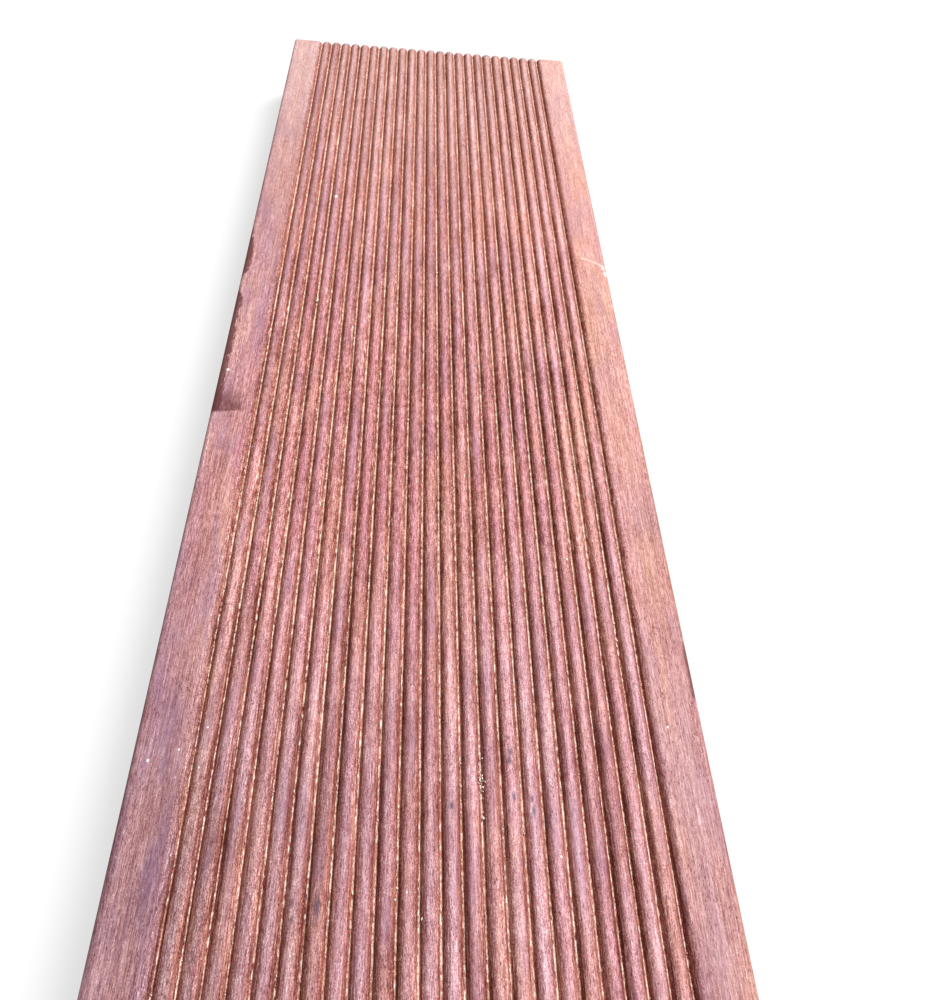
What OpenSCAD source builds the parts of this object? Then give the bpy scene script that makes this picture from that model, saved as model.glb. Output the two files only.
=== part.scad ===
// Reeded hardwood decking board, planed on all four sides and moulded on its walking face.
// The board lies flat, with X across its width, Y along its length and Z up.
// The origin is the middle of the underside.

/* [Board] */
// Finished width over the two edges
board_w = 145; // [120:1:200]
// Finished thickness, from the underside to the crowns of the beads
board_t = 25; // [19:0.5:45]
// Length of the board between its two saw cuts
board_l = 1830; // [900:10:4900]
// Radius of the four eased long arrises
arris_r = 1.5; // [0.5:0.25:5]

/* [Reeding] */
// Spacing of the grooves, centre to centre
reed_pitch = 5.04; // [4.5:0.02:8]
// Depth of each groove below the crowns
groove_d = 1.5; // [0.8:0.1:1.8]
// Width of the flat root at the bottom of each groove
root_w = 0.35; // [0.2:0.05:0.8]
// Least width of the plain strip along each edge, out from the middle of the first groove
strip_w = 14; // [12:0.5:30]
// Radius of the strip's shoulder, where it rolls down into the first groove
shoulder_r = 2.4; // [2:0.1:5]

/* [Hidden] */
timber = [0.72, 0.42, 0.38];
// Sides of the circle that each round is drawn from
round_sides = 48;

// As many grooves as fit between the two plain strips, with a bead between each pair
groove_count = floor((board_w - 2 * strip_w) / reed_pitch) + 1;
bead_count = groove_count - 1;
first_groove_x = -bead_count * reed_pitch / 2;
first_bead_x = first_groove_x + reed_pitch / 2;

// A bead is the arc that stands on the chord between two roots and rises by the groove's depth
bead_chord = reed_pitch - root_w;
bead_r = (pow(bead_chord / 2, 2) + pow(groove_d, 2)) / (2 * groove_d);
root_z = board_t - groove_d;

// The shoulder's arc leaves the strip level and meets the root line this far beyond its centre
shoulder_run = sqrt(pow(shoulder_r, 2) - pow(shoulder_r - groove_d, 2));
shoulder_x = first_groove_x - root_w / 2 - shoulder_run;

// The reeded middle of the plank, up to the root line
module web_section() {
    translate([shoulder_x, 0]) square([-2 * shoulder_x, root_z]);
}

// One bead, a round sunk in the web so that only its crown stands above the root line
module bead_section() {
    translate([0, board_t - bead_r]) circle(r = bead_r, $fn = round_sides);
}

// The plain left side of the plank at full thickness, eased outside and rolled over inside
module strip_section() {
    edge_x = -board_w / 2;
    round_x = edge_x + arris_r;
    translate([edge_x, arris_r]) square([arris_r, board_t - 2 * arris_r]);
    translate([round_x, 0]) square([shoulder_x - round_x, board_t]);
    for (z = [arris_r, board_t - arris_r])
        translate([round_x, z]) circle(r = arris_r, $fn = round_sides);
    translate([shoulder_x, board_t - shoulder_r]) circle(r = shoulder_r, $fn = round_sides);
}

// The whole moulded section, as the saw cut shows it
module board_section() {
    web_section();
    for (i = [0:bead_count - 1])
        translate([first_bead_x + i * reed_pitch, 0]) bead_section();
    strip_section();
    mirror([1, 0]) strip_section();
}

module decking_board() {
    color(timber)
        translate([0, board_l / 2, 0])
            rotate([90, 0, 0])
                linear_extrude(height = board_l)
                    board_section();
}

decking_board();
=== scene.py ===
# %% [markdown]
# # A reeded hardwood decking board
# The object is one plank of reddish tropical hardwood, planed on all sides and moulded on its walking
# face: twenty-four narrow grooves with rounded beads between them, and a plain strip along each edge.
# Its exact shape comes ready-made from the CAD model. This lesson gives it its timber, the sawdust that
# the saw and the moulding knives left behind, a floor, light and a camera.
#
# The first cell loads the CAD model and remembers its box.

# %% Load the board
import math
import random

import bmesh
import bpy
from mathutils import Matrix, Vector


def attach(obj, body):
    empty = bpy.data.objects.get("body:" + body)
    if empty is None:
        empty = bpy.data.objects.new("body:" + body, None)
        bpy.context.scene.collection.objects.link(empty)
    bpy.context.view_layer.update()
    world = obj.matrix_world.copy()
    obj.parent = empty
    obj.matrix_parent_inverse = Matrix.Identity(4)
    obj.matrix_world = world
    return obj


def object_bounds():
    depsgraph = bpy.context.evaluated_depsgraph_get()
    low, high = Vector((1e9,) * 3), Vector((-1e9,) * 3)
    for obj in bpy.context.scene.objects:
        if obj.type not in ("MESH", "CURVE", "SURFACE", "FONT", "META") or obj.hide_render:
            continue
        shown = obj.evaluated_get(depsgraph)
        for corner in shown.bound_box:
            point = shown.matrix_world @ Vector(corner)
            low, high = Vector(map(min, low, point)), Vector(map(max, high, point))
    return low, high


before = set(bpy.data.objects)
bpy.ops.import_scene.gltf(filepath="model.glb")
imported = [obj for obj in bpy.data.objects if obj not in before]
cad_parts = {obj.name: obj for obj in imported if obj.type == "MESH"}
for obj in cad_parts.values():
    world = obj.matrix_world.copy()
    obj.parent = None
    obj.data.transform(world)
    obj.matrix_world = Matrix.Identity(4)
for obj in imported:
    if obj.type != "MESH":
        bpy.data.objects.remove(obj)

cad_low, cad_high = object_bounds()
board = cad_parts["decking_board"]
MM = 0.001
board_size = [round(side / MM, 1) for side in cad_high - cad_low]
print("the board measures", board_size, "mm and has", len(board.data.polygons), "triangles")

# %% [markdown]
# ## The board's own sizes
# Several steps need to know where the grooves run, so the section's sizes are written once, in
# millimetres, as the moulding cutter was set. The grooves lie at an even pitch, centred on the board.

# %% Sizes of the moulding
BOARD_W, BOARD_T, BOARD_L = 145.0, 25.0, 1830.0
REED_PITCH, GROOVE_COUNT, GROOVE_DEPTH = 5.04, 24, 1.5
HALF_W, HALF_L = BOARD_W / 2, BOARD_L / 2
groove_middles = [(i - (GROOVE_COUNT - 1) / 2) * REED_PITCH for i in range(GROOVE_COUNT)]
outermost = round(groove_middles[-1], 2)
print("the outermost grooves run", outermost, "mm to the left and right of the middle")

# %% [markdown]
# ## The camera
# The photograph was taken by hand with a telephone held close over the board, looking along it and
# steeply down, a little askew. The camera is placed by four facts: where it stands over the board, how
# far it is turned to the right, how far it looks down, and how far it is rolled. A camera can be aimed by
# a tracking constraint as well, but the roll is easier to see in three plain directions: forward, right
# and up.

# %% Camera
PHOTO_LONG_SIDE = 1000
FOCAL_PIXELS = 673.0
SENSOR_WIDTH, NEAREST_SEEN = 36, 0.01
CAMERA_X, CAMERA_BACK, CAMERA_HEIGHT = -8.17, 401.1, 176.8
YAW, PITCH_DOWN, ROLL = (math.radians(angle) for angle in (9.13, 57.1, 9.15))

level_reach = math.cos(PITCH_DOWN)
forward = Vector((math.sin(YAW) * level_reach, math.cos(YAW) * level_reach, -math.sin(PITCH_DOWN)))
level_right = Vector((math.cos(YAW), -math.sin(YAW), 0))
level_up = level_right.cross(forward)
right = level_right * math.cos(ROLL) + level_up * math.sin(ROLL)
up = level_up * math.cos(ROLL) - level_right * math.sin(ROLL)

lens = bpy.data.cameras.new("camera")
lens.sensor_width = SENSOR_WIDTH
lens.lens = SENSOR_WIDTH * FOCAL_PIXELS / PHOTO_LONG_SIDE
lens.clip_start = NEAREST_SEEN
camera = bpy.data.objects.new("camera", lens)
camera.matrix_world = Matrix((right, up, -forward)).transposed().to_4x4()
camera.location = Vector((CAMERA_X, HALF_L - CAMERA_BACK, BOARD_T + CAMERA_HEIGHT)) * MM
bpy.context.scene.collection.objects.link(camera)
bpy.context.scene.camera = camera
print("the lens is", round(lens.lens, 1), "mm and stands", CAMERA_HEIGHT, "mm over the board")

# %% [markdown]
# ## Writing shader maths as sums
# A procedural finish is mostly arithmetic, and Blender does it with one Math node for each plus or times.
# Drawing dozens of those by hand hides what they say. The small class below wraps a node's output, so that
# an ordinary Python sum such as `1 - depth * 2` adds the Math nodes by itself. Every other kind of node
# comes from one method that takes its type, its settings and what goes into its sockets.


# %% Sockets that can be added and multiplied
class Value:
    """One number or vector that a node puts out."""

    def __init__(self, finish, socket):
        self.finish, self.socket = finish, socket

    def sum(self, operation, *terms):
        return self.finish.node("ShaderNodeMath", {"operation": operation}, dict(enumerate(terms)))

    def __add__(self, other):
        return self.sum("ADD", self, other)

    def __sub__(self, other):
        return self.sum("SUBTRACT", self, other)

    def __mul__(self, other):
        return self.sum("MULTIPLY", self, other)

    def __radd__(self, other):
        return self.sum("ADD", other, self)

    def __rsub__(self, other):
        return self.sum("SUBTRACT", other, self)

    def __rmul__(self, other):
        return self.sum("MULTIPLY", other, self)

    def __abs__(self):
        return self.sum("ABSOLUTE", self)

    def power(self, exponent):
        return self.sum("POWER", self, exponent)

    def wave(self):
        return self.sum("SINE", self)

    def fraction(self):
        return self.sum("FRACT", self)

    def slope(self, start, end, kind="LINEAR"):
        """0 at start and beyond it, 1 at end and beyond it, with a straight slope between them."""
        settings = {"interpolation_type": kind, "clamp": True}
        return self.finish.node("ShaderNodeMapRange", settings, {0: self, 1: start, 2: end, 3: 0.0, 4: 1.0})

    def ramp(self, start, end):
        """The same slope, eased at both ends."""
        return self.slope(start, end, "SMOOTHSTEP")


def srgb(red, green, blue):
    """A colour as a picture shows it, 0 to 255, turned into the linear colour that a shader takes."""
    parts = [part / 255 for part in (red, green, blue)]
    return (*[part / 12.92 if part <= 0.04045 else ((part + 0.055) / 1.055) ** 2.4 for part in parts], 1.0)


class Finish:
    """A material under construction, measured in millimetres on the object."""

    def __init__(self, name):
        self.material = bpy.data.materials.new(name)
        self.material.use_nodes = True
        self.tree = self.material.node_tree
        self.tree.nodes.clear()
        place = self.node("ShaderNodeTexCoord", {}, {}, "Object")
        self.place = self.vector("SCALE", place, Scale=1 / MM)
        split = self.tree.nodes.new("ShaderNodeSeparateXYZ")
        self.tree.links.new(self.place.socket, split.inputs[0])
        self.x, self.y, self.z = (Value(self, output) for output in split.outputs)

    def node(self, kind, settings, inputs, output=0):
        made = self.tree.nodes.new(kind)
        for name, setting in settings.items():
            setattr(made, name, setting)
        for key, given in inputs.items():
            if isinstance(given, Value):
                self.tree.links.new(given.socket, made.inputs[key])
            else:
                made.inputs[key].default_value = given
        return Value(self, made.outputs[output])

    def vector(self, operation, *terms, **named):
        inputs = {**dict(enumerate(terms)), **named}
        return self.node("ShaderNodeVectorMath", {"operation": operation}, inputs)

    def reach(self, vector):
        """How long a vector is."""
        return self.node("ShaderNodeVectorMath", {"operation": "LENGTH"}, {0: vector}, "Value")

    def mix(self, share, first, second):
        """The first colour where share is 0 and the second where it is 1."""
        settings = {"data_type": "RGBA", "blend_type": "MIX", "clamp_factor": True}
        return self.node("ShaderNodeMix", settings, {0: share, 6: first, 7: second}, 2)

    def stretched(self, width, length, offset):
        """Places in which a texture's features come out width wide and length long, along the grain."""
        moved = self.vector("ADD", self.place, (offset, offset * 3, offset))
        return self.vector("MULTIPLY", moved, (1 / width, 1 / length, 1 / width))

    def noise(self, width, length, offset, detail=2.0, rough=0.55):
        """Soft random patches between 0 and 1, about width wide and length long, in millimetres."""
        inputs = {"Vector": self.stretched(width, length, offset), "Scale": 1.0, "Detail": detail,
                  "Roughness": rough}
        return self.node("ShaderNodeTexNoise", {}, inputs, "Fac")

    def cells(self, width, length, offset):
        """Distance from the middle of the nearest of many scattered cells, 0 at the middle itself."""
        inputs = {"Vector": self.stretched(width, length, offset), "Scale": 1.0, "Randomness": 1.0}
        return self.node("ShaderNodeTexVoronoi", {"feature": "F1"}, inputs, "Distance")

    def bump(self, height, depth):
        """A relief: height runs from 0 to 1, and depth says how many millimetres that is."""
        inputs = {"Height": height, "Distance": depth * MM, "Strength": 1.0}
        return self.node("ShaderNodeBump", {}, inputs, "Normal")

    def close(self, shader):
        """Joins a shader to the material's output, which finishes it."""
        end = self.tree.nodes.new("ShaderNodeOutputMaterial")
        self.tree.links.new(shader.socket, end.inputs["Surface"])
        print("finish", self.material.name, "has", len(self.tree.nodes), "nodes")
        return self.material

    def surface(self, **inputs):
        """Closes the material with one plain shader, whose inputs are named with underscores for spaces."""
        sockets = {name.replace("_", " "): given for name, given in inputs.items()}
        return self.close(self.node("ShaderNodeBsdfPrincipled", {}, sockets))


# %% [markdown]
# ## The timber
# The real board is a dense red hardwood. Close up it shows several things at once: soft patches of mauve,
# rose and salmon along the grain; fine darker and paler fibres; short dark pores, like pencil dashes two
# millimetres long; and pale flecks of torn fibre. A photograph laid on the board would carry all that, but
# it would stretch on the beads' flanks and stop at the picture's edge. Noise and cell patterns that are
# stretched along the grain cover the whole board at its real scale, and run through it as real grain does.
#
# The finish is built up in layers, from the broad to the fine, and each layer is one cell. The first layer
# is the heartwood's own colour, with a mauve painted sheen on the near part of the left strip. It is reddest
# for a hand's breadth in the middle of the part that the photograph shows, and mauve on both sides of that.
# Places are in millimetres from the middle of the board, so the far end lies at y = 915, the photograph
# shows the board from there back to about y = 515, and x runs from -72.5 at the left edge to 72.5 at the
# right one.


# %% Timber: broad colours
def band(value, start, end, soft):
    """1 between start and end, fading over soft on either side."""
    return value.ramp(start - soft, start + soft) * (1 - value.ramp(end - soft, end + soft))


timber = Finish("red_hardwood")
below_top = BOARD_T - timber.z
upper_part = 1 - below_top.ramp(2.0, 23.0)
ROSE, RED_ROSE = srgb(216, 163, 172), srgb(217, 142, 147)
MAUVE, SALMON = srgb(184, 140, 163), srgb(230, 166, 148)
unseen = 1 - timber.y.ramp(400.0, 500.0)
red_patches = timber.noise(30.0, 160.0, detail=1.0, offset=19.0).ramp(0.42, 0.62)
redness = band(timber.y, 588.0, 712.0, 38.0) + unseen * red_patches * 0.8
redness = redness * timber.x.ramp(-74.0, -56.0) * (1 - timber.x.ramp(0.0, 40.0) * 0.6)
right_strip = timber.x.ramp(57.0, 62.0) * upper_part
redness = redness + right_strip * band(timber.y, 570.0, 715.0, 30.0) * 0.8
red_streaks = timber.noise(8.0, 60.0, offset=97.0).ramp(0.40, 0.64)
colour = timber.mix(redness * 0.8 + red_streaks * 0.3, ROSE, RED_ROSE)
warmth = timber.noise(8.0, 50.0, offset=11.0).ramp(0.42, 0.66)
warm_side = timber.x.ramp(20.0, 72.0) * timber.y.ramp(560.0, 640.0) * 0.3 + right_strip * 0.3
colour = timber.mix(warmth * 0.55 + warm_side, colour, SALMON)
dullness = timber.noise(6.5, 30.0, offset=47.0).ramp(0.46, 0.68) * (1 - right_strip * 0.5)
left_strip = (1 - timber.x.ramp(-60.0, -57.0)) * upper_part
# A mauve painted sheen lies on the near part of the left strip.
left_strip_sheen = left_strip * (1 - timber.y.ramp(540.0, 610.0))
colour = timber.mix(dullness * 0.55 + left_strip_sheen * 0.35, colour, MAUVE)
print("broad colours:", len(timber.tree.nodes), "nodes so far")

# %% [markdown]
# ### Painted sheen and shade
# The colour is painted brighter towards the right and beyond y = 600, and paler towards the far end: a
# painted sheen where the light glances off the board. The left strip, the left arris and the right strip get
# painted shade, and the near left corner a painted shadow. The first two beads are darker, and three beads
# next to them are paler beyond y = 670.

# %% Timber: pale and dark sides
FAR_SHEEN = srgb(242, 200, 194)
# Painted sheen: brighter towards the right edge, most beyond y = 600.
right_sheen = timber.x.ramp(-2.0, 52.0) * (0.4 + 0.6 * timber.y.ramp(590.0, 660.0))
# Painted shade along the left arris.
left_arris = 1 - timber.x.ramp(-71.5, -69.5)
# A painted shadow over the near left corner.
near_left = (1 - timber.x.ramp(-50.0, 14.0)) * band(timber.y, 440.0, 555.0, 20.0) * (1 - left_strip * 0.7)
first_beads = band(timber.x, -59.0, -47.5, 1.5)
pale_beads = band(timber.x, -47.5, -32.0, 2.0) * timber.y.ramp(640.0, 700.0)
right_strip_shade = 0.25 + 0.16 * band(timber.y, 625.0, 730.0, 30.0)
# Painted sheen: brighter beyond y = 600 and towards the right; the paler beads are a streak in the wood.
light = 0.96 + 0.1 * timber.y.ramp(600.0, 680.0) + right_sheen * 0.34 + pale_beads * 0.12
# Painted shade on the left strip, the left arris, the right strip and the near left corner; the first beads
# are darker.
shade = light - left_strip * 0.18 - left_arris * 0.12 - first_beads * 0.12
shade = shade - right_strip * right_strip_shade - near_left * 0.35
colour = timber.vector("SCALE", colour, Scale=shade)
# A pale painted sheen is mixed in towards the far end.
far_sheen_share = timber.y.ramp(740.0, 900.0) * 0.75 * (1 - first_beads * 0.6 - right_strip * 0.4)
colour = timber.mix(far_sheen_share, colour, FAR_SHEEN)
print("pale and dark sides:", len(timber.tree.nodes), "nodes so far")

# %% [markdown]
# ### Flanks of the grooves
# The crowns are rubbed pale, and the flanks keep the raw brown-red of the cut, with orange fibres where
# the knives tore it; their darker colour down in the grooves is also painted shade. The depth below the top
# face says which is which, so one slope on the depth does for all the beads, and a little noise added to the
# depth makes it ragged. How far a place lies across its bead, from 0 in one groove to 1 in the next, tells
# its left flank from its right one. The left flank, turned away from the sun, gets more painted shade: it is
# a little wider, redder and darker. The right flanks at the near left get a painted shadow, and the flanks
# are painted lighter towards the far end.

# %% Timber: flanks
# RUST is the raw cut's brown-red; the redder one is a painted shade colour for the left flanks.
DARK_RUST, RUST, SHADED_FLANK_RED = srgb(142, 75, 70), srgb(143, 73, 61), srgb(165, 84, 67)
TORN = srgb(204, 132, 110)
in_reeds = (1 - abs(timber.x).ramp(60.0, 60.6)) * (1 - below_top.ramp(1.7, 2.2))
far_away = timber.y.ramp(680.0, 780.0)
across_bead = (timber.x * (1 / REED_PITCH) + 0.5).fraction()
# The left flank of each bead faces away from the sun and gets painted shade.
shaded_flank = (1 - across_bead.ramp(0.25, 0.45)) * in_reeds
right_flank = across_bead.ramp(0.7, 0.85) * in_reeds
near_side = abs(timber.x).ramp(15.0, 50.0) * (1 - timber.y.ramp(560.0, 640.0))
near_left_side = near_side * (1 - timber.x.ramp(-10.0, 10.0))
ragged = (timber.noise(1.2, 7.0, offset=37.0) - 0.5) * 0.45
# Painted shade: the flank is a little wider on the left side of each bead, and the leaning below widens it
# on the right side, most at the far end.
ragged_depth = below_top + ragged + shaded_flank * 0.08
leaning = (across_bead - 0.5) * in_reeds * (0.12 + 0.36 * far_away)
ragged_depth = ragged_depth + leaning + timber.y.ramp(580.0, 720.0) * 0.06
left_shoulder = (1 - timber.x.ramp(-59.0, -58.0)) * (1 - timber.y.ramp(540.0, 620.0) * 0.6)
flank = ragged_depth.slope(0.0, 0.75).power(0.7) * (0.6 + 0.4 * in_reeds * (1 - left_shoulder))
# The flank colour is the raw cut's brown-red and painted shade in the grooves: redder on the left flanks,
# and lighter towards the far end as painted light.
cut_colour_and_shade = timber.mix(shaded_flank, RUST, SHADED_FLANK_RED)
cut_colour_and_shade = timber.mix(timber.y.ramp(545.0, 625.0), DARK_RUST, cut_colour_and_shade)
cut_colour_and_shade = timber.vector("SCALE", cut_colour_and_shade, Scale=1 + 0.18 * far_away)
colour = timber.mix(flank, colour, cut_colour_and_shade)
# Painted shade darkens the left flanks, and a painted shadow the right flanks at the near left.
colour = timber.vector("SCALE", colour, Scale=1 - shaded_flank * 0.12 - right_flank * near_left_side * 0.28)
torn = flank.ramp(0.15, 0.7) * timber.noise(0.6, 12.0, offset=53.0).ramp(0.46, 0.62)
colour = timber.mix(torn * 0.4 * in_reeds * (1 - left_shoulder * 0.7), colour, TORN)
print("flanks:", len(timber.tree.nodes), "nodes so far")

# %% [markdown]
# ### Fibres and tooth
# Noises that are stretched along the grain make its fibres: broad streaks, long fibres, dashes and a fine
# tooth. Their sum drives a Gamma node as well as a plain scale, because dark wood is redder than pale
# wood, and a scale alone would only make it greyer.

# %% Timber: fibres
tone = timber.noise(8.0, 130.0, offset=17.0) - 0.5
blotches = timber.noise(4.0, 16.0, offset=91.0) - 0.5
streaks = timber.noise(1.1, 35.0, offset=67.0) - 0.5
long_fibres = timber.noise(0.34, 11.0, detail=1.0, offset=5.0) - 0.5
dashes = timber.noise(0.30, 2.2, detail=1.0, offset=29.0) - 0.5
tooth = timber.noise(0.22, 0.42, detail=1.0, offset=63.0) - 0.5
on_strip = 1 - in_reeds
rougher_wood = timber.y.ramp(570.0, 620.0)
knife_lines = (timber.noise(0.36, 22.0, offset=87.0) - 0.5) * flank * in_reeds
mottle = timber.noise(0.9, 2.4, offset=39.0) - 0.5
fine_grain = long_fibres * (0.9 + 0.5 * on_strip) + dashes * 1.3 + tooth * (1.8 - 0.6 * on_strip)
fine_grain = fine_grain * (1.2 - 0.6 * dullness + 0.25 * rougher_wood - 0.45 * far_away)
fine_grain = fine_grain * (1 - 0.15 * on_strip)
broad_grain = streaks * 0.8 + blotches * 0.5 + tone * 1.1
broad_grain = broad_grain * (1 - far_away * 0.25) * (1 - 0.3 * on_strip)
mottle_share = 0.6 + 2.0 * flank * in_reeds * (rougher_wood - far_away * 0.5)
grain = fine_grain + mottle * mottle_share + knife_lines * 2.4 + broad_grain
colour = timber.node("ShaderNodeGamma", {}, {"Color": colour, "Gamma": 1 - grain * 0.55})
colour = timber.vector("SCALE", colour, Scale=1 + grain * 0.5)
print("fibres:", len(timber.tree.nodes), "nodes so far")

# %% [markdown]
# ### Pores and flecks
# A pore is a cut-open vessel, a dark dash. Cells of a Voronoi texture, stretched along the grain, give one
# dash each, and they thin out where the wood's blotches are pale. Flecks of torn fibre are the same in a
# pale orange, with rounder cells. There are most of them in the warm patches and on the flanks, and a few
# are nearly white.

# %% Timber: pores and flecks
UMBER, ORANGE_FLECK, CHALK = srgb(106, 48, 50), srgb(238, 176, 142), srgb(250, 226, 206)
pore_density = 1 - blotches.ramp(-0.12, 0.12)
pores = 1 - timber.cells(0.36, 1.7, offset=3.0).ramp(0.15, 0.31)
colour = timber.mix(pores * (0.3 + 0.6 * pore_density) * (1 - far_away * 0.3), colour, UMBER)
fleck_cells = timber.cells(0.5, 1.0, offset=23.0)
flecks = (1 - fleck_cells.ramp(0.14, 0.34)) * (0.15 + 0.5 * warmth + 0.35 * flank)
colour = timber.mix(flecks * 0.45, colour, ORANGE_FLECK)
white_flecks = (1 - fleck_cells.ramp(0.12, 0.26)) * mottle.ramp(0.10, 0.16)
colour = timber.mix(white_flecks * warmth * 0.7, colour, CHALK)
print("pores and flecks:", len(timber.tree.nodes), "nodes so far")

# %% [markdown]
# ### Dust in the roots
# Fine dust from the moulding machine has packed into the bottom of every groove and a little way up its
# sides, where it shows as a thin line, cream where it is thick and golden brown where it is thin.

# %% Timber: dust in the grooves
GOLD, CREAM, SAWDUST_WHITE = srgb(212, 154, 124), srgb(254, 234, 214), srgb(255, 250, 240)
mid_way = band(timber.y, 575.0, 705.0, 25.0)
dust_lean = 0.16 + 0.1 * timber.y.ramp(560.0, 600.0) - 0.46 * timber.y.ramp(680.0, 740.0)
dust_lean = dust_lean - 0.36 * near_side
dust_edge = (timber.noise(0.5, 1.6, offset=31.0) - 0.5) * 0.8 + (0.5 - across_bead) * dust_lean
dust_edge = dust_edge + mid_way * 0.03 + far_away * 0.15 - near_side * 0.09 - near_left_side * 0.07
root = (below_top + dust_edge).ramp(GROOVE_DEPTH - 0.18, GROOVE_DEPTH - 0.02) * in_reeds
packed = timber.noise(0.4, 0.9, rough=0.75, offset=7.0)
packed = packed + blotches * 0.5 + mid_way * 0.08 - far_away * 0.07
colour = timber.mix(root * 0.75, colour, GOLD)
colour = timber.mix(root * packed.ramp(0.46, 0.60), colour, CREAM)
dust_grains = (dashes + tooth * 0.5).ramp(0.05, 0.13)
colour = timber.mix(root * dust_grains * 0.85, colour, SAWDUST_WHITE)
print("dust in the grooves:", len(timber.tree.nodes), "nodes so far")

# %% [markdown]
# ### Stains
# The board has lived a little. A dark ragged stain runs down the left edge, and ends in a sharp line
# where another board lay over it. A shorter one sits on the right edge. Each stain is a box of ramps
# across and along the board, with noise to fray its sides, and all of them fade down the edge. The one on
# the left has a foot, where the water crept in over the strip along that line.

# %% Timber: stains
WET, SMUDGE = srgb(96, 42, 38), srgb(108, 62, 56)
STAIN_LINE, STAIN_TOP = 659.0, 757.0
fray = timber.noise(2.0, 5.0, detail=3.0, rough=0.65, offset=13.0) - 0.5
slow_fray = timber.noise(7.0, 14.0, offset=57.0) - 0.5
from_left = timber.x + HALF_W + fray * 2.4 + dashes * 2.0 + tooth * 1.5
gap = band(timber.y, 716.0, 727.0, 2.5)
edge_width = 2.6 + slow_fray * 1.6 - gap * 2.2 - timber.y.ramp(740.0, 760.0) * 2.6
fade_down = 1 - (below_top + fray * 6.0).ramp(3.0, 9.0)
edge_stain = 1 - (from_left - edge_width).ramp(-0.3, 0.4)
edge_stain = edge_stain * band(timber.y, STAIN_LINE + 0.3, STAIN_TOP, 0.4) * fade_down
from_line = timber.y - STAIN_LINE
foot_near = (from_line - from_left * 0.15).ramp(-1.0, -0.2)
foot_far = 1 - (from_line + fray * 14.0 + tooth * 8.0).ramp(5.0, 15.0)
foot_right = 1 - (from_left + from_line * 0.4).ramp(9.0, 14.0)
foot_stain = foot_near * foot_far * foot_right * fade_down * (fray * 2.5 + tooth * 3.0).ramp(-0.8, 0.4)
right_stain = (timber.x + fray * 2.0 + dashes * 2.0).ramp(70.7, 71.5)
right_stain = right_stain * band(timber.y + fray * 6.0, 564.0, 580.0, 2.0) * fade_down
right_stain = right_stain * (slow_fray + 0.1).ramp(-0.04, 0.04)
colour = timber.mix(edge_stain * 0.85, colour, WET)
colour = timber.mix(foot_stain * 0.9, colour, WET)
colour = timber.mix(right_stain * 0.85, colour, SMUDGE)
print("stains:", len(timber.tree.nodes), "nodes so far")

# %% [markdown]
# ### Specks
# A few bluish specks lie on the beads, and crumbs of sawdust cling to the crowns and to the plain strips.
# These crumbs are thinner than a sheet of card, and as pieces of their own they would stand above the
# board's top, so they are part of the finish. A speck is where a place is close to its middle, measured
# in speck widths across and speck lengths along. One pale splinter, a little bowed, lies near the right
# edge.


# %% Timber: specks and clinging crumbs
def spots(places, soft):
    """1 inside any of the places, given as (x, y, half its width, half its length)."""
    nearest = None
    for x, y, half_width, half_length in places:
        scale, shift = (1 / half_width, 1 / half_length, 0), (-x / half_width, -y / half_length, 0)
        off = timber.vector("MULTIPLY_ADD", timber.place, scale, shift)
        distance = timber.reach(off)
        nearest = distance if nearest is None else nearest.sum("MINIMUM", nearest, distance)
    return 1 - (nearest + fray * 1.5).ramp(1 - soft, 1 + soft)


BLUE = srgb(76, 72, 100)
blue_places = [(-25.3, 518.4, 0.6, 2.4), (-30.7, 519.4, 0.4, 0.9), (-30.5, 516.3, 0.4, 0.9),
               (20.0, 554.8, 0.35, 0.5), (20.3, 551.2, 0.5, 0.8), (20.0, 549.4, 0.5, 1.0),
               (20.6, 540.8, 0.5, 1.0), (25.0, 540.2, 0.35, 0.9), (25.3, 537.4, 0.4, 1.3),
               (5.2, 539.0, 0.5, 0.8)]
blue_specks = spots(blue_places, 0.7) * (tooth * 3.0 + dashes * 2.0).ramp(-0.9, 0.1)
colour = timber.mix(blue_specks * 0.8, colour, BLUE)
clinging = [(-40.5, 779.4, 0.6, 1.1), (-69.5, 677.5, 0.5, 0.5), (41.1, 606.8, 0.3, 0.4),
            (-68.3, 549.9, 0.32, 0.4), (-61.5, 552.4, 0.25, 0.3), (-58.6, 529.5, 0.35, 0.35),
            (-55.5, 557.7, 0.22, 0.25), (-56.0, 548.2, 0.22, 0.25), (62.7, 557.3, 0.22, 0.25),
            (71.3, 738.4, 0.7, 1.6), (70.9, 742.0, 0.5, 1.5), (-5.3, 521.0, 0.22, 0.25),
            (29.9, 544.5, 0.25, 0.3), (31.0, 527.5, 0.22, 0.25)]
SPLINTER_X, SPLINTER_Y, SPLINTER_SLANT, SPLINTER_BOW = 67.2, 745.6, 0.55, 0.03
from_splinter = timber.x - SPLINTER_X
splinter_line = timber.y - SPLINTER_Y + from_splinter * SPLINTER_SLANT
splinter_line = splinter_line + from_splinter * from_splinter * SPLINTER_BOW
splinter = (1 - abs(splinter_line).ramp(0.1, 0.6)) * band(timber.x, 62.6, 71.4, 0.5)
crumbs_on_top = (spots(clinging, 0.3) + splinter * 0.7) * (1 - below_top.ramp(0.5, 0.6))
colour = timber.mix(crumbs_on_top, colour, SAWDUST_WHITE)
print("specks:", len(blue_places), "bluish,", len(clinging), "crumbs and one splinter")

# %% [markdown]
# ### Sawn ends
# At the two saw cuts the same vessels are seen end on, as dots, which the patterns above give by
# themselves because they run right through the board. The ends also drink more and look darker, they show
# the bowed lines of the growth rings, and the saw has left its marks across them.

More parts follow.
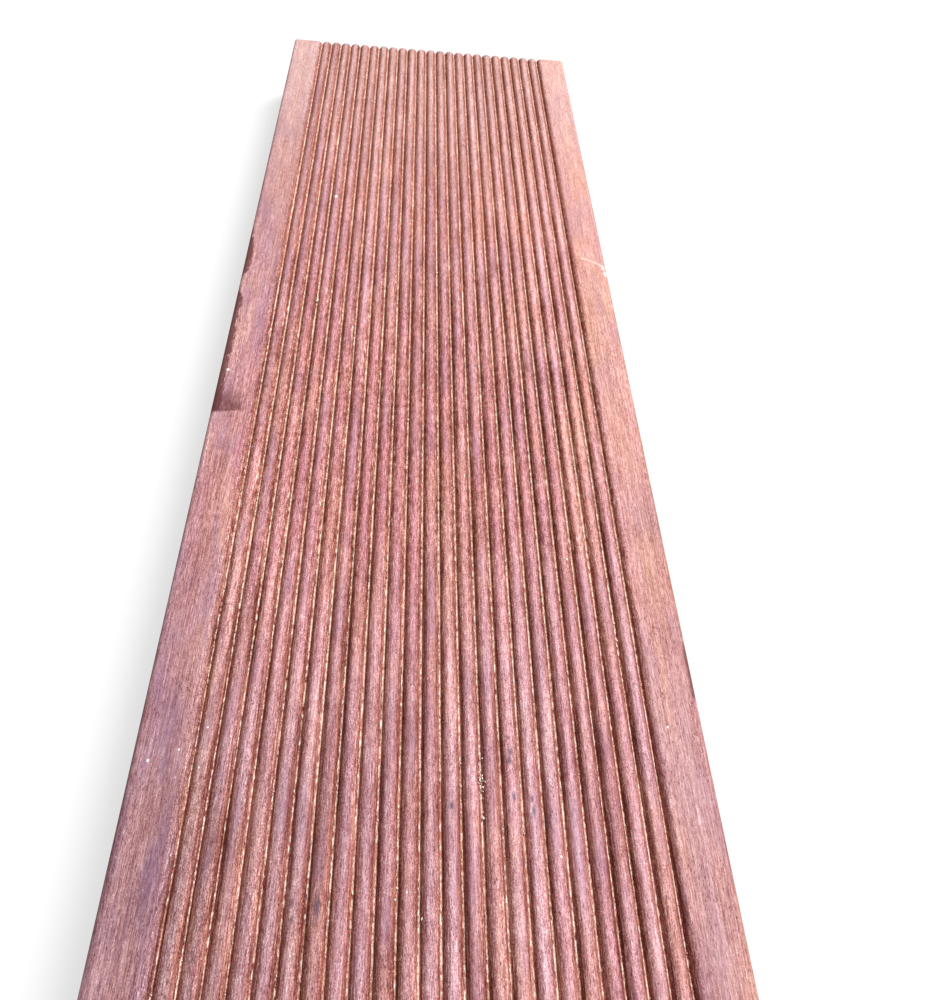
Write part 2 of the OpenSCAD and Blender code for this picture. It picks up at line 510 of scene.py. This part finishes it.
# %% Timber: sawn ends
END_BROWN, RING = srgb(150, 88, 72), srgb(96, 50, 42)
PITH, RING_SPACING, SAW_PITCH = (-35.0, 0.0, -70.0), 3.1, 1.4
sawn = abs(timber.y).ramp(HALF_L - 0.06, HALF_L - 0.04)
from_pith = timber.vector("SUBTRACT", timber.place, PITH)
from_pith = timber.vector("MULTIPLY", from_pith, (1, 0, 1))
radius = timber.reach(from_pith)
rings = ((radius + slow_fray * 2.5) * (2 * math.pi / RING_SPACING)).wave() * 0.5 + 0.5
end_colour = timber.mix(rings.power(3.0) * 0.5, END_BROWN, RING)
end_colour = timber.vector("SCALE", end_colour, Scale=1 + (dashes + tooth) * 1.2)
end_colour = timber.mix(pores * 0.7, end_colour, RING)
colour = timber.mix(sawn * 0.95, colour, end_colour)
saw_marks = ((timber.x * 0.35 + timber.z + dashes * 0.6) * (2 * math.pi / SAW_PITCH)).wave() * sawn
print("sawn ends:", len(timber.tree.nodes), "nodes so far")

# %% [markdown]
# ### Relief and gloss
# Pores are pits, fibres stand a little proud, and the planer's knives leave faint ripples across the
# board. All are far too fine to model, so they are bumps. The rubbed crowns are smoother than the flanks.

# %% Timber: relief
KNIFE_PITCH, RELIEF_DEPTH = 1.9, 0.05
ripple = ((timber.y + dashes * 0.8) * (2 * math.pi / KNIFE_PITCH)).wave()
fibres_high = dashes * 1.3 + tooth * 1.8
height = fibres_high * 0.5 - pores * 0.8 + ripple * 0.06 + saw_marks * 0.3
relief = timber.bump(height, RELIEF_DEPTH)
roughness = 0.55 + 0.25 * flank + 0.1 * sawn + tooth * 0.4
board_finish = timber.surface(Base_Color=colour, Normal=relief, Roughness=roughness, Specular_IOR_Level=0.25)
board.data.materials.clear()
board.data.materials.append(board_finish)

# %% [markdown]
# ## Sawdust
# Grains and crumbs of sawdust lie in the grooves. A particle system could strew them, but a handful of
# modelled crumbs, copied and turned, gives the same look and stays put. Each crumb starts as an icosphere,
# gets its corners shaken in edit mode and is squeezed there.
#
# A crumb has to rest in the groove and not float or sink. Seen along the board, a crumb is a small circle
# that comes to rest on the groove's root, on a bead or on the rolled shoulder of a plain strip, and the
# highest of these decides.

# %% Where a crumb comes to rest
ROOT_W, SHOULDER_R = 0.35, 2.4
BEAD_R = (((REED_PITCH - ROOT_W) / 2) ** 2 + GROOVE_DEPTH ** 2) / (2 * GROOVE_DEPTH)
SHOULDER_RUN = math.sqrt(SHOULDER_R ** 2 - (SHOULDER_R - GROOVE_DEPTH) ** 2)
SHOULDER_X = -groove_middles[0] + ROOT_W / 2 + SHOULDER_RUN
bead_middles = [x + REED_PITCH / 2 for x in groove_middles[:-1]]


def rest_height(x, size):
    """Height of the middle of a crumb of this radius above the underside, all in millimetres."""
    heights = [BOARD_T - GROOVE_DEPTH + size]
    rounds = [(middle, BEAD_R) for middle in bead_middles]
    rounds += [(SHOULDER_X, SHOULDER_R), (-SHOULDER_X, SHOULDER_R)]
    for middle, curve in rounds:
        reach, aside = curve + size, abs(x - middle)
        if aside < reach:
            heights.append(BOARD_T - curve + math.sqrt(reach ** 2 - aside ** 2))
    return max(heights)


crumb_depth = BOARD_T - rest_height(groove_middles[0], 0.3)
print("the middle of a 0.3 mm crumb rests", round(crumb_depth, 2), "mm below the top face in a groove")


# %% Model crumbs
def model_crumb(name, squeeze, shake, seed, subdivisions=1):
    """One crumb about a unit across, to be copied: shaken by chance and squeezed along its three axes."""
    bpy.ops.object.select_all(action="DESELECT")
    bpy.ops.mesh.primitive_ico_sphere_add(subdivisions=subdivisions, radius=1.0)
    crumb = bpy.context.object
    crumb.name = name
    bpy.ops.object.mode_set(mode="EDIT")
    bpy.ops.mesh.select_all(action="SELECT")
    bpy.ops.transform.vertex_random(offset=shake, seed=seed)
    bpy.ops.transform.resize(value=squeeze)
    bpy.ops.object.mode_set(mode="OBJECT")
    return crumb


def strew(pattern_crumbs, places, name, finish, seed):
    """Copies the crumbs to places given as (x, y, size), each turned at random, and gathers them up."""
    turn = random.Random(seed)
    gathered = bmesh.new()
    for x, y, size in places:
        crumb = turn.choice(pattern_crumbs).data.copy()
        spin = Matrix.Rotation(turn.uniform(-0.5, 0.5), 4, "Z")
        spin = spin @ Matrix.Rotation(turn.uniform(-0.3, 0.3), 4, "X")
        spot = Vector((x, y, rest_height(x, size * 0.6))) * MM
        crumb.transform(Matrix.Translation(spot) @ spin @ Matrix.Scale(size * MM, 4))
        gathered.from_mesh(crumb)
        bpy.data.meshes.remove(crumb)
    mesh = bpy.data.meshes.new(name)
    gathered.to_mesh(mesh)
    gathered.free()
    mesh.materials.clear()
    mesh.materials.append(finish)
    strewn = bpy.data.objects.new(name, mesh)
    bpy.context.scene.collection.objects.link(strewn)
    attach(strewn, "root")
    for pattern in pattern_crumbs:
        bpy.data.objects.remove(pattern)
    top = max(corner.co.z for corner in mesh.vertices) / MM
    print(name, "has", len(places), "crumbs and", len(mesh.polygons), "faces")
    print("its highest point is", round(BOARD_T - top, 2), "mm below the top face")


# %% Sawdust finish
sawdust = Finish("pale_sawdust")
speck_tone = sawdust.noise(0.8, 0.8, offset=2.0)
sawdust_colour = sawdust.mix(speck_tone.ramp(0.4, 0.6), srgb(252, 244, 232), srgb(236, 206, 172))
sawdust_finish = sawdust.surface(Base_Color=sawdust_colour, Roughness=0.85, Specular_IOR_Level=0.3)

# %% Grains along the grooves
grain_patterns = [model_crumb("grain_long", (0.7, 1.7, 0.6), 0.25, 3),
                  model_crumb("grain_flat", (1.0, 1.1, 0.5), 0.3, 8),
                  model_crumb("grain_lump", (0.8, 1.0, 0.8), 0.3, 21)]
MEAN_GAP = 7.0
scatter = random.Random(7)
grain_places = []
for middle in groove_middles:
    y = -HALF_L + 2
    while y < HALF_L - 2:
        size = 0.08 + 0.14 * scatter.random() ** 2
        grain_places.append((middle + scatter.uniform(-0.12, 0.12), y, size))
        y += scatter.expovariate(1 / MEAN_GAP) + 0.3
strew(grain_patterns, grain_places, "sawdust_grains", sawdust_finish, 11)

# %% Crumbs in the grooves
crumb_patterns = [model_crumb("crumb_chip", (0.9, 1.2, 0.6), 0.22, 4, 2),
                  model_crumb("crumb_curl", (0.6, 1.4, 0.5), 0.25, 9, 2)]
seen_crumbs = [(-42.84, 715.2, 0.74), (2.52, 734.9, 0.45), (-17.64, 731.5, 0.35), (-12.6, 656.8, 0.35),
               (-7.56, 659.2, 0.4), (47.88, 604.2, 0.3), (52.92, 586.7, 0.3), (52.92, 581.6, 0.35),
               (-17.64, 521.2, 0.35), (-7.56, 521.9, 0.3), (-17.64, 514.5, 0.3), (-1.9, 515.8, 0.25),
               (7.56, 543.5, 0.32), (-7.9, 519.6, 0.25), (12.9, 536.2, 0.3)]
HEAP_X, HEAP_Y, HEAP_COUNT, TAIL_COUNT, STRAY_COUNT = 12.5, 544.5, 16, 14, 90
heap = [(HEAP_X + scatter.gauss(0, 0.4), HEAP_Y + scatter.gauss(0, 1.4), scatter.uniform(0.12, 0.30))
        for _ in range(HEAP_COUNT)]
heap += [(HEAP_X + 0.1 + scatter.gauss(0, 0.3), scatter.uniform(536.0, 552.0), scatter.uniform(0.1, 0.22))
         for _ in range(TAIL_COUNT)]
stray = [(scatter.choice(groove_middles), scatter.uniform(-HALF_L + 5, 500), scatter.uniform(0.2, 0.45))
         for _ in range(STRAY_COUNT)]
strew(crumb_patterns, seen_crumbs + heap + stray, "sawdust_crumbs", sawdust_finish, 12)

# %% [markdown]
# ## Floor and light
# The board lies on a plain pale floor. In the photograph it stands on nothing but white, so the floor is
# white to the camera and keeps only a light shadow of the board: what the camera sees is partly the lit
# floor and partly an even glow, while every other ray meets a plain pale surface.

# %% Floor
bpy.ops.object.select_all(action="DESELECT")
FLOOR_SIDE = 12
bpy.ops.mesh.primitive_plane_add(size=FLOOR_SIDE, location=(0, 0, 0))
floor = bpy.context.object
floor.name = "floor"
paper = Finish("floor_paper")
seen = paper.node("ShaderNodeLightPath", {}, {}, "Is Camera Ray")
paper_colour = paper.mix(seen, srgb(225, 225, 225), (1, 1, 1, 1))
lit = paper.node("ShaderNodeBsdfDiffuse", {}, {"Color": paper_colour})
glow = paper.node("ShaderNodeEmission", {}, {"Color": (1, 1, 1, 1), "Strength": 1.0})
GLOW_SHARE = 0.7
blend = paper.node("ShaderNodeMixShader", {}, {0: seen * GLOW_SHARE, 1: lit, 2: glow})
floor.data.materials.append(paper.close(blend))

# %% [markdown]
# ### Light
# The grooves read by their shadows: the left flank of every bead is dark and its right shoulder bright. So
# the key light is a broad sun from the right and the far end, low enough to shade the flanks and high
# enough to reach the dust in the roots, over a dim white sky.

# %% Light
SKY_LEVEL, SUN_LEVEL, SUN_WIDTH = 0.2, 4.3, math.radians(22)
world = bpy.data.worlds.new("sky")
world.use_nodes = True
bpy.context.scene.world = world
sky = world.node_tree.nodes["Background"]
sky.inputs["Color"].default_value = (1, 1, 1, 1)
path = world.node_tree.nodes.new("ShaderNodeLightPath")
level = world.node_tree.nodes.new("ShaderNodeMapRange")
level.inputs["To Min"].default_value = SKY_LEVEL
level.inputs["To Max"].default_value = 1.0
world.node_tree.links.new(path.outputs["Is Camera Ray"], level.inputs["Value"])
world.node_tree.links.new(level.outputs[0], sky.inputs["Strength"])

sun = bpy.data.lights.new("sun", "SUN")
sun.energy = SUN_LEVEL
sun.angle = SUN_WIDTH
sun_lamp = bpy.data.objects.new("sun", sun)
to_sun = Vector((0.53, 0.58, 0.765))
sun_lamp.rotation_euler = to_sun.to_track_quat("Z", "Y").to_euler()
bpy.context.scene.collection.objects.link(sun_lamp)
bpy.context.scene.view_settings.view_transform = "Standard"
print("the sun shines at", SUN_LEVEL, "and the sky glows at", SKY_LEVEL)
